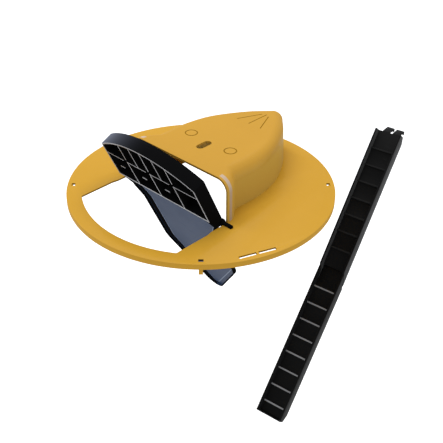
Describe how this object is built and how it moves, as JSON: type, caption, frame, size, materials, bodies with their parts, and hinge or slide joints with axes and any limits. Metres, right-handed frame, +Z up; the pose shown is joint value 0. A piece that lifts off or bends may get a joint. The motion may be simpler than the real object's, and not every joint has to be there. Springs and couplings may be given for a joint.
{
  "type": "bucket lid mouse trap",
  "caption": "Round bucket lid with a mouse-head hood over a see-saw flipper and slide, and a separate two-part runged ramp.",
  "frame": {"origin": "centre of the lid's disc, on the plate's underside that seats on the bucket's rim", "axes": "+X along the flipper's axle, +Y towards the hood's nose, +Z up out of the bucket"},
  "size_m": [0.3284, 0.3913, 0.3505],
  "materials": {
    "lid_plastic": "satin moulded, amber yellow",
    "black_plastic": "satin moulded, black",
    "slate_plastic": "satin moulded, blue grey"
  },
  "bodies": {
    "lid": {"lid_plate": "lid_plastic", "lid_rim": "lid_plastic", "rim_hook_rear_right": "lid_plastic", "rim_hook_rear_left": "lid_plastic", "rim_hook_front_left": "lid_plastic", "rim_hook_front_right": "lid_plastic", "hood": "lid_plastic"},
    "flipper": {"tray": "black_plastic", "tray_ribs": "black_plastic", "pivot_pin_left": "black_plastic", "pivot_pin_right": "black_plastic", "slide": "slate_plastic", "slide_clip_left": "black_plastic", "slide_clip_middle": "black_plastic", "slide_clip_right": "black_plastic"},
    "ramp": {"ramp_upper": "black_plastic", "ramp_hook_left": "black_plastic", "ramp_hook_right": "black_plastic"},
    "ramp_foot": {"ramp_lower": "black_plastic"}
  },
  "joints": [
    {"name": "flipper_tilt", "type": "hinge", "parent": "lid", "child": "flipper", "pos_m": [0, -0.042, 0.003], "axis": [1, 0, 0], "range_deg": [-25.5, 64.5]},
    {"name": "ramp_lift", "type": "slide", "parent": "lid", "child": "ramp", "axis": [0, 0, 1], "range_m": [0, 0.06]},
    {"name": "ramp_unplug", "type": "slide", "parent": "ramp", "child": "ramp_foot", "axis": [0.0865, -0.657, -0.749], "range_m": [0, 0.02]}
  ]
}
